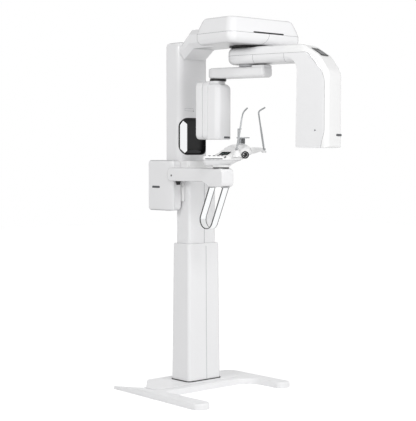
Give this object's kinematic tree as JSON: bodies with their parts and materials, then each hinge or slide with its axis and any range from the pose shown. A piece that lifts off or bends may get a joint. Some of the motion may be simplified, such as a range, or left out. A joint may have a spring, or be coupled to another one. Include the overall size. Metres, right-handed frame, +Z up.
{
  "type": "dental cone beam ct scanner",
  "caption": "Standing dental cone beam CT scanner with a telescoping column, a patient table on a side arm, a head housing and a turning arm with tube head and detector.",
  "frame": {"origin": "on the floor under the middle of the column sleeve", "axes": "+Z up, -Y towards the standing patient's side, +X to the right as seen from the patient's side"},
  "size_m": [0.8825, 1.2367, 2.158],
  "materials": {
    "painted_steel_base": "white powder coat",
    "painted_column": "white powder coated extrusion",
    "white_cover": "white painted moulded cover",
    "white_shell": "white moulded shell",
    "black_plastic": "black moulded plastic",
    "grey_plastic": "grey moulded plastic",
    "clear_grey_plastic": "smoky clear plastic",
    "nylon": "natural nylon",
    "black_rubber": "matte black",
    "polished_steel": "polished stainless steel",
    "machined_steel": "machined steel",
    "dark_metal": "dark painted housing",
    "cast_aluminium": "satin aluminium",
    "dark_glass": "dark gloss display glass",
    "mirror_glass": "mirror",
    "circuit_board": "green board",
    "brass": "machined brass"
  },
  "bodies": {
    "base": {"base_frame": "painted_steel_base", "column_plinth": "painted_steel_base", "outer_sleeve": "painted_column", "sleeve_gasket": "black_rubber", "sleeve_glide": "nylon", "lift_motor": "dark_metal", "lift_actuator_tube": "cast_aluminium"},
    "stop_button": {"stop_button": "black_plastic"},
    "knob": {"adjust_knob": "black_plastic"},
    "temple_rod_left": {"temple_rod_left": "machined_steel"},
    "temple_rod_right": {"temple_rod_right": "machined_steel"},
    "bite_post": {"bite_post": "clear_grey_plastic"},
    "stage": {"stage_plate": "cast_aluminium", "slewing_ring": "machined_steel", "turn_motor": "dark_metal"},
    "rotor": {"turntable": "black_plastic", "tube_arm_lower": "white_cover", "tube_arm_cover": "white_cover", "tube_head_body": "white_cover", "tube_head_cover": "white_shell", "status_window": "dark_glass", "xray_tube_block": "dark_metal", "collimator": "brass"},
    "detector_arm": {"pivot_disc": "grey_plastic", "detector_arm": "white_cover"},
    "detector_head": {"detector_neck": "black_plastic", "detector_front": "white_cover", "detector_middle": "white_cover", "detector_back": "white_cover", "sensor_panel": "dark_metal"},
    "table_key_1": {"table_key_1": "grey_plastic"},
    "table_key_2": {"table_key_2": "grey_plastic"},
    "table_key_3": {"table_key_3": "grey_plastic"},
    "table_key_4": {"table_key_4": "grey_plastic"},
    "lift": {"telescoping_column": "painted_column", "lift_push_rod": "machined_steel", "carriage_collar": "painted_column", "side_box_body": "white_cover", "side_box_cover": "white_cover", "control_board": "circuit_board", "side_arm": "white_cover", "grip_loop": "polished_steel", "grip_socket_plate": "black_plastic", "table_neck": "black_plastic", "table_tray": "white_cover", "table_cover": "white_cover", "display_window": "dark_glass", "rod_bracket": "grey_plastic", "rod_post": "grey_plastic", "chin_rest": "clear_grey_plastic", "upper_column": "white_cover", "column_rear_cover": "white_cover", "niche_liner": "black_plastic", "mirror_facet": "mirror_glass", "top_bracket": "white_cover", "housing_lower": "white_cover", "housing_upper": "white_cover", "housing_slit": "black_plastic", "stage_rail_frame": "machined_steel"}
  },
  "joints": [
    {"name": "column_lift", "type": "slide", "parent": "base", "child": "lift", "axis": [0, 0, 1], "range_m": [-0.19, 0.3]},
    {"name": "stage_slide", "type": "slide", "parent": "lift", "child": "stage", "axis": [0, 1, 0], "range_m": [-0.02, 0.02]},
    {"name": "rotor_turn", "type": "hinge", "parent": "stage", "child": "rotor", "pos_m": [0, -0.46, 2], "axis": [0, 0, 1], "range_deg": [-130, 100]},
    {"name": "detector_arm_swing", "type": "hinge", "parent": "rotor", "child": "detector_arm", "pos_m": [0, -0.46, 1.898], "axis": [0, 0, 1], "range_deg": [0, 90]},
    {"name": "detector_head_turn", "type": "hinge", "parent": "detector_arm", "child": "detector_head", "pos_m": [-0.05559, -0.25956, 1.8235], "axis": [0, 0, 1], "range_deg": [0, 90]},
    {"name": "temple_knob", "type": "hinge", "parent": "lift", "child": "knob", "pos_m": [-0.07627, -0.51177, 1.3911], "axis": [-0.669, -0.7433, 0], "range_deg": [-60, 20]},
    {"name": "temple_left_swing", "type": "hinge", "parent": "lift", "child": "temple_rod_left", "pos_m": [-0.107, -0.475, 1.4241], "axis": [0, 1, 0], "range_deg": [-9.8, 3.4]},
    {"name": "temple_right_swing", "type": "hinge", "parent": "lift", "child": "temple_rod_right", "pos_m": [0.107, -0.475, 1.4241], "axis": [0, 1, 0], "range_deg": [-3.4, 9.8]},
    {"name": "bite_slide", "type": "slide", "parent": "lift", "child": "bite_post", "axis": [0, 0, 1], "range_m": [0, 0.025]},
    {"name": "stop_press", "type": "slide", "parent": "lift", "child": "stop_button", "axis": [0, 0, 1], "range_m": [0, 0.004], "stiffness_N_per_m": 500, "springref_m": -0.002},
    {"name": "key_press_1", "type": "slide", "parent": "lift", "child": "table_key_1", "axis": [0, 0, -1], "range_m": [0, 0.001], "stiffness_N_per_m": 400, "springref_m": -0.0005},
    {"name": "key_press_2", "type": "slide", "parent": "lift", "child": "table_key_2", "axis": [0, 0, -1], "range_m": [0, 0.001], "stiffness_N_per_m": 400, "springref_m": -0.0005},
    {"name": "key_press_3", "type": "slide", "parent": "lift", "child": "table_key_3", "axis": [0, 0, -1], "range_m": [0, 0.001], "stiffness_N_per_m": 400, "springref_m": -0.0005},
    {"name": "key_press_4", "type": "slide", "parent": "lift", "child": "table_key_4", "axis": [0, 0, -1], "range_m": [0, 0.001], "stiffness_N_per_m": 400, "springref_m": -0.0005}
  ],
  "couplings": [
    {"joint": "temple_left_swing", "follows": "temple_knob", "ratio": 0.16},
    {"joint": "temple_right_swing", "follows": "temple_knob", "ratio": -0.16}
  ]
}
